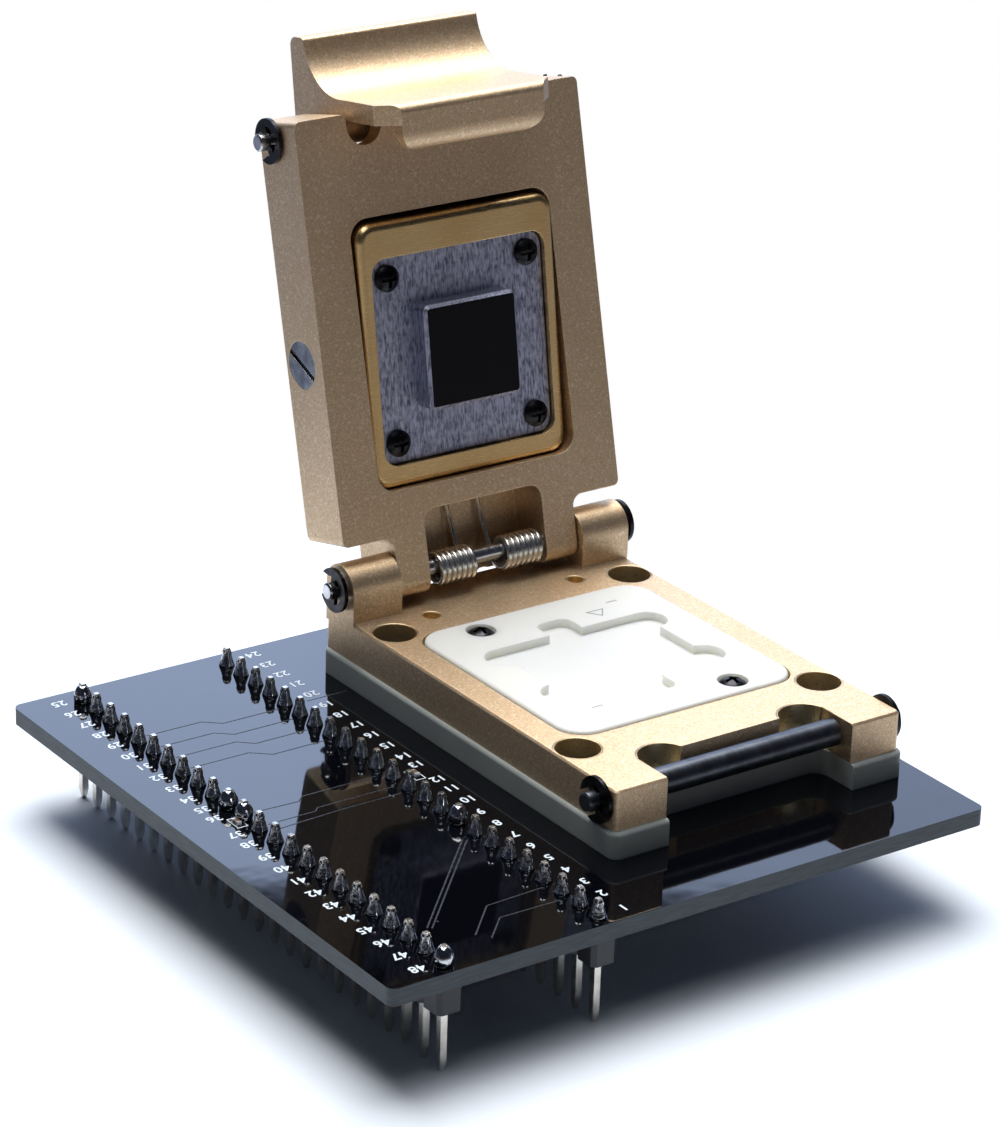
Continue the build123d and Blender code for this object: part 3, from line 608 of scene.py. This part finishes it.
def evaluated(holder):
    """The mesh that a curve or a modified object comes to; the object itself is removed."""
    bpy.context.view_layer.update()
    mesh = bpy.data.meshes.new_from_object(holder.evaluated_get(bpy.context.evaluated_depsgraph_get()))
    bpy.data.objects.remove(holder)
    return mesh


def lathe(profile, sides, wobble):
    """A closed turned shape about Z from (radius, height) pairs that start and end on the axis."""
    shape = bmesh.new()
    rings = []
    for radius, height in profile[1:-1]:
        ring = []
        for k in range(sides):
            a = 2 * math.pi * k / sides
            point = Vector((math.cos(a), math.sin(a), height * 2))
            r = radius * (1 + wobble * noise.noise(point * wobble_detail))
            ring.append(shape.verts.new((r * math.cos(a), r * math.sin(a), height)))
        rings.append(ring)
    low = shape.verts.new((0, 0, profile[0][1]))
    high = shape.verts.new((0, 0, profile[-1][1]))
    for k in range(sides):
        nxt = (k + 1) % sides
        shape.faces.new((low, rings[0][nxt], rings[0][k]))
        shape.faces.new((high, rings[-1][k], rings[-1][nxt]))
        for a, b in zip(rings, rings[1:]):
            shape.faces.new((a[k], a[nxt], b[nxt], b[k]))
    bmesh.ops.recalc_face_normals(shape, faces=shape.faces)
    for face in shape.faces:
        face.smooth = True
    return shape


def solder_profile(fat):
    # Concave cone that wets the pin nearly to its end, or a fat drop on the odd joint
    points = [(0, 0)]
    for k in range(solder_steps + 1):
        t = k / solder_steps
        if fat:
            radius = solder_radius * (1 + fat_belly * math.sin(math.pi * t) - fat_shoulder * t ** 3)
        else:
            radius = solder_neck + (solder_radius - solder_neck) * (1 - t) ** slim_curve
        points.append((radius, solder_height * t))
    points.append((0, solder_height + solder_tip))
    return points


def pin_number(side, i):
    """Numbers run up the right row from the front and back down the left one."""
    return 2 * pins_per_row - i if side < 0 else i + 1


def joint_group():
    """Geometry nodes that stand a joint on every point of a row, each turned and sized a little differently."""
    group = bpy.data.node_groups.new("Joint Row", "GeometryNodeTree")
    for label, kind in (("Points", "Geometry"), ("Joint", "Object"), ("Material", "Material"), ("Seed", "Int"),
                        ("Shortest", "Float"), ("Tallest", "Float")):
        group.interface.new_socket(name=label, in_out="INPUT", socket_type="NodeSocket" + kind)
    group.interface.new_socket(name="Joints", in_out="OUTPUT", socket_type="NodeSocketGeometry")
    add, link = group.nodes.new, group.links.new
    given = add("NodeGroupInput").outputs
    turn, size, stretch = (add("FunctionNodeRandomValue") for k in range(3))
    turn.inputs["Max"].default_value = 2 * math.pi
    size.inputs["Min"].default_value, size.inputs["Max"].default_value = joint_size
    for node in (turn, size, stretch):
        link(given["Seed"], node.inputs["Seed"])
    link(given["Shortest"], stretch.inputs["Min"])
    link(given["Tallest"], stretch.inputs["Max"])
    angle, scale = add("ShaderNodeCombineXYZ"), add("ShaderNodeCombineXYZ")
    link(turn.outputs["Value"], angle.inputs["Z"])
    for axis, source in (("X", size), ("Y", size), ("Z", stretch)):
        link(source.outputs["Value"], scale.inputs[axis])
    chosen, stand, real, paint = (add("GeometryNode" + kind) for kind in (
        "ObjectInfo", "InstanceOnPoints", "RealizeInstances", "SetMaterial"))
    link(given["Joint"], chosen.inputs["Object"])
    link(given["Points"], stand.inputs["Points"])
    link(chosen.outputs["Geometry"], stand.inputs["Instance"])
    link(angle.outputs["Vector"], stand.inputs["Rotation"])
    link(scale.outputs["Vector"], stand.inputs["Scale"])
    link(stand.outputs["Instances"], real.inputs["Geometry"])
    link(real.outputs["Geometry"], paint.inputs["Geometry"])
    link(given["Material"], paint.inputs["Material"])
    link(paint.outputs["Geometry"], add("NodeGroupOutput").inputs["Joints"])
    return group


def joint_row(group, joint, points, values):
    """The evaluated row as a plain mesh."""
    mesh = bpy.data.meshes.new("row_points")
    mesh.from_pydata(points, [], [])
    holder = stand("row", mesh)
    modifier = holder.modifiers.new("joints", "NODES")
    modifier.node_group = group
    values = dict(values, Joint=joint, Material=finishes["solder"])
    for item in group.interface.items_tree:
        if item.in_out == "INPUT" and item.name in values:
            modifier[item.identifier] = values[item.name]
    return evaluated(holder)


def joint_object(name, fat):
    shape = lathe(solder_profile(fat), solder_sides, solder_wobble)
    shape.transform(Matrix.Scale(mm, 4))
    return stand(name, finished(name, shape))


def make_solder():
    group = joint_group()
    joints = {fat: joint_object("fat_joint" if fat else "slim_joint", fat) for fat in (False, True)}
    shortest, tallest = joint_stretch
    rows = {}
    for side, label in ((-1, "left"), (1, "right")):
        shape = bmesh.new()
        for fat, joint in joints.items():
            points = [at(side * row_x, row_place(i), board_top) for i in range(pins_per_row)
                      if (pin_number(side, i) in fat_joints) == fat]
            values = {"Seed": joint_seed + side, "Shortest": shortest, "Tallest": tallest}
            shape.from_mesh(joint_row(group, joint, points, values))
        rows[label] = finished(f"solder_row_{label}", shape)
    for joint in joints.values():
        bpy.data.objects.remove(joint)
    for label, mesh in rows.items():
        piece = new_piece(f"solder_row_{label}", mesh, "solder", "board_and_base")
        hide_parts(f"solder_joints_{label}")


def text_mesh(words, height):
    curve = bpy.data.curves.new("words", "FONT")
    curve.body = words
    curve.size = height / capital_share
    curve.align_x, curve.align_y = "CENTER", "CENTER"
    curve.extrude = ink_thickness / 2
    curve.offset = digit_stroke
    curve.space_character = digit_spacing
    curve.resolution_u = 3
    return evaluated(stand("words", curve))


def ink_bar(shape, corners, z):
    """A flat four-cornered patch of ink on the surface at z, its corners against the clock seen from above."""
    low, high = ([shape.verts.new(at(x, y, z + lift)) for x, y in corners]
                 for lift in (0.0, ink_lift + ink_thickness / 2))
    shape.faces.new(high)
    shape.faces.new(list(reversed(low)))
    for k in range(4):
        nxt = (k + 1) % 4
        shape.faces.new((low[k], low[nxt], high[nxt], high[k]))


def ink_box(shape, x0, x1, y0, y1, z):
    ink_bar(shape, ((x0, y0), (x1, y0), (x1, y1), (x0, y1)), z)


def make_numbers():
    # Plain pin numbers, all turned to be read from the back of the board, and outlines round the capacitors
    shape = bmesh.new()
    turn = Matrix.Rotation(math.pi, 4, "Z")
    for side, x, shift in ((-1, left_number_x, left_number_shift), (1, right_number_x, right_number_shift)):
        for i in range(pins_per_row):
            number = pin_number(side, i)
            nudge = one_digit_shift if number < 10 else 0.0
            mesh = text_mesh(str(number), digit_height)
            y = shifted_numbers.get(number, row_place(i) + shift)
            place = Matrix.Translation(at(x + nudge, y, board_top + ink_lift))
            mesh.transform(place @ turn @ Matrix.Scale(mm, 4))
            shape.from_mesh(mesh)
            bpy.data.meshes.remove(mesh)
    w = outline_width
    for x0, x1, y0, y1 in capacitor_outlines:
        ink_box(shape, x0, x1, y0, y0 + w, board_top)
        ink_box(shape, x0, x1, y1 - w, y1, board_top)
        ink_box(shape, x0, x0 + w, y0 + w, y1 - w, board_top)
        ink_box(shape, x1 - w, x1, y0 + w, y1 - w, board_top)
    new_piece("pin_numbers", finished("pin_numbers", shape), "white_ink", "board_and_base")


def make_guide_marks():
    # Faint corner triangle and two dashes on the moulded insert
    shape = bmesh.new()
    corners = [Vector(corner) for corner in triangle_corners]
    centre = sum(corners, Vector((0, 0))) / 3
    for k, a in enumerate(corners):
        b = corners[(k + 1) % 3]
        inner_a, inner_b = a.lerp(centre, triangle_line), b.lerp(centre, triangle_line)
        ink_bar(shape, [(socket_x + p.x, socket_y + p.y) for p in (inner_a, inner_b, b, a)], guide_top)
    half_length, half_width = half_dash
    for x, y in dash_places:
        x, y = socket_x + x, socket_y + y
        ink_box(shape, x - half_length, x + half_length, y - half_width, y + half_width, guide_top)
    bmesh.ops.recalc_face_normals(shape, faces=shape.faces)
    new_piece("guide_marks", finished("guide_marks", shape), "faint_ink", "guide")


def wire(name, points, thickness, roundness):
    """Round wire along points in millimetres."""
    curve = bpy.data.curves.new(name, "CURVE")
    curve.dimensions = "3D"
    curve.bevel_depth = thickness / 2 * mm
    curve.bevel_resolution = roundness
    curve.use_fill_caps = True
    line = curve.splines.new("POLY")
    line.points.add(len(points) - 1)
    for point, place in zip(line.points, points):
        point.co = (*(place * mm), 1)
    mesh = evaluated(stand(name, curve))
    for polygon in mesh.polygons:
        polygon.use_smooth = True
    return mesh


def coil_points(radius, turns, pitch, first, last, first_run, last_run):
    """A coil about X whose ends run off straight; angles are from straight down, backwards."""
    whole = turns + (last - first) / 360
    steps = coil_steps * turns
    points = []
    for k in range(steps + 1):
        t = k / steps
        a = math.radians(first + 360 * whole * t)
        points.append(Vector((whole * pitch * (t - 0.5), radius * math.sin(a), -radius * math.cos(a))))
    a, b = math.radians(first), math.radians(last)
    start = points[0] - Vector((0, math.cos(a), math.sin(a))) * first_run
    end = points[-1] + Vector((0, math.cos(b), math.sin(b))) * last_run
    return [start] + points + [end]


def make_torsion_springs():
    # The right one is the left one's mirror image
    for name, x in coil_centres.items():
        points = coil_points(coil_radius, coil_turns, coil_pitch, coil_foot_angle, coil_leg_angle, coil_foot, coil_leg)
        if x > 0:
            points = [Vector((-p.x, p.y, p.z)) for p in points]
        centre = Vector((socket_x + x, hinge_y, hinge_z - coil_drop))
        mesh = wire(name + "_wire", [centre + p for p in points], coil_wire, 3)
        piece = new_piece(name + "_wire", mesh, "spring_steel", "board_and_base")
        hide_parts(name)


def make_latch_spring():
    place = lid_place() @ Matrix.Translation((0, latch_pin_y, latch_pin_z))
    points = coil_points(latch_coil_radius, latch_coil_turns, latch_coil_pitch, *latch_coil_angles,
                         latch_coil_run, latch_coil_run)
    mesh = wire("latch_spring_wire", [place @ p for p in points], latch_coil_wire, 2)
    piece = new_piece("latch_spring_wire", mesh, "spring_steel", "lid")
    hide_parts("latch_spring")


def trace_sides(points):
    """The two edges of a line, mitred where it turns."""
    sides = []
    for k, point in enumerate(points):
        before, after = points[max(0, k - 1)], points[min(len(points) - 1, k + 1)]
        way = (after - before).normalized()
        across = Vector((-way.y, way.x)) * trace_width / 2
        sides.append((point + across, point - across))
    return sides


def make_traces():
    # Raised lines of copper with sloping sides
    shape = bmesh.new()
    for route in trace_routes:
        rings = []
        for left, right in trace_sides([Vector(p) for p in route]):
            inset = (right - left) * trace_slope
            rings.append([shape.verts.new(at(v.x, v.y, board_top + h)) for v, h in
                          ((left, 0.0), (left + inset, trace_height), (right - inset, trace_height), (right, 0.0))])
        for a, b in zip(rings, rings[1:]):
            for k in range(3):
                shape.faces.new((a[k], a[k + 1], b[k + 1], b[k]))
            shape.faces.new((a[3], a[0], b[0], b[3]))
        shape.faces.new(rings[0])
        shape.faces.new(list(reversed(rings[-1])))
    bmesh.ops.recalc_face_normals(shape, faces=shape.faces)
    new_piece("copper_traces", finished("copper_traces", shape), "covered_copper", "board_and_base")


make_solder()
make_numbers()
make_torsion_springs()
make_latch_spring()
make_guide_marks()
make_traces()


def make_floor():
    # A round white sheet, which the white behind it goes on from
    mesh = bpy.data.meshes.new("floor")
    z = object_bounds()[0][2]
    angles = [2 * math.pi * k / floor_sides for k in range(floor_sides)]
    rim = [(floor_radius * math.cos(a), floor_radius * math.sin(a), z) for a in angles]
    mesh.from_pydata(rim, [], [tuple(range(floor_sides))])
    look = Finish("white_floor", **{"Roughness": 0.9, "Specular IOR Level": 0.1})
    tone = look.spread(look.cloud(40.0), 0.3, 0.7)
    look.feed("Base Color", look.blend(tone, rgb(0.84, 0.90, 0.98), rgb(0.86, 0.92, 0.99)))
    mesh.materials.append(look.material)
    stand("floor", mesh)


def soft_box(name, place, size, power, colour):
    lamp = bpy.data.lights.new(name, "AREA")
    lamp.shape = "RECTANGLE"
    lamp.size, lamp.size_y = size
    lamp.energy = power
    lamp.color = colour
    holder = stand(name, lamp)
    holder.location = place
    holder.rotation_euler = (Vector(lamp_target) - Vector(place)).to_track_quat("-Z", "Y").to_euler()


def studio(graph):
    """Colour of a bright backdrop low behind the part, a window above it, a dark room and a pale ground."""
    way = graph.put("TexCoord").outputs["Generated"]
    height = graph.put("SeparateXYZ", {"Vector": way}).outputs["Z"]
    level = graph.put("VectorMath", {0: way, 1: (1, 1, 0)}, operation="MULTIPLY").outputs["Vector"]
    level = graph.put("VectorMath", {0: level}, operation="NORMALIZE").outputs["Vector"]
    turn = math.radians(-camera_turn)
    facing, aside = (graph.put("VectorMath", {0: level, 1: axis}, operation="DOT_PRODUCT").outputs["Value"]
                     for axis in ((math.sin(turn), math.cos(turn), 0), (math.cos(turn), -math.sin(turn), 0)))
    behind = graph.spread(facing, *backdrop_facing)
    low = graph.math("MULTIPLY", behind, graph.spread(height, backdrop_top + backdrop_blur,
                                                      backdrop_top - backdrop_blur))
    low = graph.math("MULTIPLY", low, graph.spread(aside, *backdrop_sides, 1.0, backdrop_right))
    low = graph.math("MULTIPLY", low, graph.spread(height, *backdrop_fade, backdrop_foot, 1.0))
    window = graph.math("MULTIPLY", graph.spread(height, window_low, window_low + window_blur),
                        graph.spread(height, window_high, window_high - window_blur))
    colour = graph.blend(low, rgb(*room_colour), rgb(*backdrop_colour))
    colour = graph.blend(graph.math("MULTIPLY", behind, window), colour, rgb(*window_colour))
    below = graph.blend(graph.spread(facing, -ground_turn, ground_turn), rgb(*ground_before), rgb(*ground_behind))
    return graph.blend(graph.spread(height, 0.0, ground_blur), colour, below)


def make_light():
    # The camera sees plain white all round, and the part sees the studio
    for name, settings in lamps.items():
        soft_box(name, **settings)
    world = bpy.data.worlds.new("studio")
    bpy.context.scene.world = world
    world.use_nodes = True
    world.node_tree.nodes.clear()
    graph = Graph(world.node_tree)
    room = graph.put("Background", {"Color": studio(graph)}).outputs[0]
    white = graph.put("Background", {"Color": rgb(1, 1, 1)}).outputs[0]
    seen = graph.put("LightPath").outputs["Is Camera Ray"]
    chosen = graph.put("MixShader", {0: seen, 1: room, 2: white}).outputs[0]
    end = graph.put("OutputWorld")
    world.node_tree.links.new(chosen, end.inputs["Surface"])


def make_camera():
    lens = bpy.data.cameras.new("photo_camera")
    lens.lens = camera_lens
    lens.sensor_width = sensor_width
    lens.clip_start = 0.01
    holder = stand("photo_camera", lens)
    turn = (Matrix.Rotation(math.radians(camera_turn), 4, "Z") @ Matrix.Rotation(math.radians(90 - camera_down), 4, "X")
            @ Matrix.Rotation(math.radians(camera_roll), 4, "Z"))
    holder.matrix_world = Matrix.Translation(at(*camera_place)) @ turn
    bpy.context.scene.camera = holder


make_floor()
make_light()
make_camera()
bpy.context.scene.view_settings.view_transform = "Standard"
